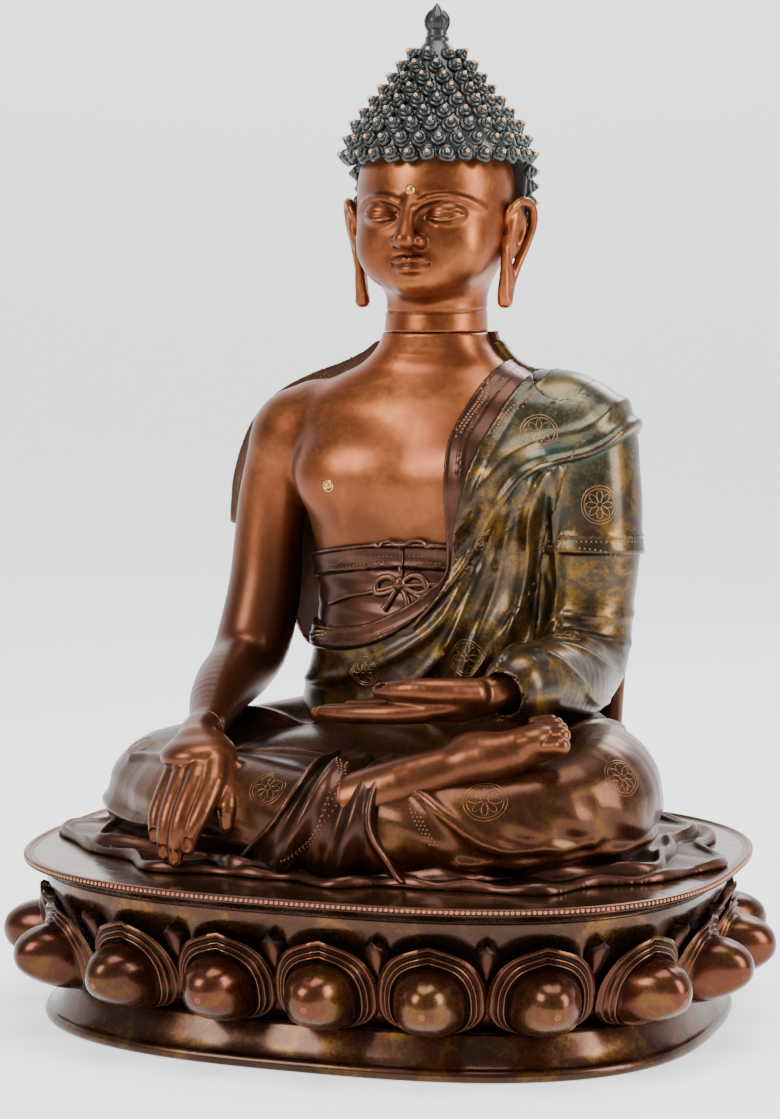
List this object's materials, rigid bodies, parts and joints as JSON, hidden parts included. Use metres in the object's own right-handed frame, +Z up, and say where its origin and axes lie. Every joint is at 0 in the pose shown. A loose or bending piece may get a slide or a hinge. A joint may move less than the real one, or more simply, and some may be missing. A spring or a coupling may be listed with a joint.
{
  "type": "buddha statue",
  "caption": "Seated robed figure in meditation on an oval lotus pedestal, one hand reaching down to the seat, the other open in the lap.",
  "frame": {"origin": "centre of the object's footprint box, on the floor", "axes": "+Z up the figure, -Y the way the figure faces, +X to the figure's left hand"},
  "size_m": [0.4571, 0.378, 0.63],
  "materials": {
    "skin_bronze": "warm copper-brown satin patina",
    "robe_bronze": "dark brown and olive patina with ochre mottling, waxed",
    "edging_bronze": "reddish-brown patina, waxed",
    "pedestal_bronze": "brown patina, waxed",
    "petal_bronze": "reddish polished patina",
    "bead_copper": "rubbed copper",
    "hair_bronze": "gunmetal patina with rubbed tips",
    "stud_brass": "polished brass"
  },
  "bodies": {
    "pedestal": {"foot_ring": "pedestal_bronze", "pedestal_drum": "pedestal_bronze", "lotus_petals": "petal_bronze", "petal_tips": "petal_bronze", "rim_collar": "pedestal_bronze", "bead_rim": "bead_copper", "seat_plate": "pedestal_bronze", "sealing_plate": "bead_copper", "crimp_tabs": "pedestal_bronze"},
    "figure": {"seat_cloth": "edging_bronze", "locating_lugs": "pedestal_bronze", "lap": "robe_bronze", "hanging_folds": "edging_bronze", "right_foot": "skin_bronze", "torso": "skin_bronze", "waist_sash": "edging_bronze", "sash_bow": "edging_bronze", "outer_robe": "robe_bronze", "robe_border": "edging_bronze", "right_arm": "skin_bronze", "right_hand": "skin_bronze", "left_sleeve": "robe_bronze", "left_hand": "skin_bronze", "arm_dowels": "stud_brass", "neck_tenon": "pedestal_bronze", "head": "skin_bronze", "ears": "skin_bronze", "hair_cap": "hair_bronze", "hair_curls": "hair_bronze", "crown_jewel": "hair_bronze", "urna": "stud_brass", "chest_stud": "stud_brass"}
  },
  "joints": [
    {"name": "figure_lift", "type": "slide", "parent": "pedestal", "child": "figure", "axis": [0, 0, 1], "range_m": [0, 0.06]}
  ]
}
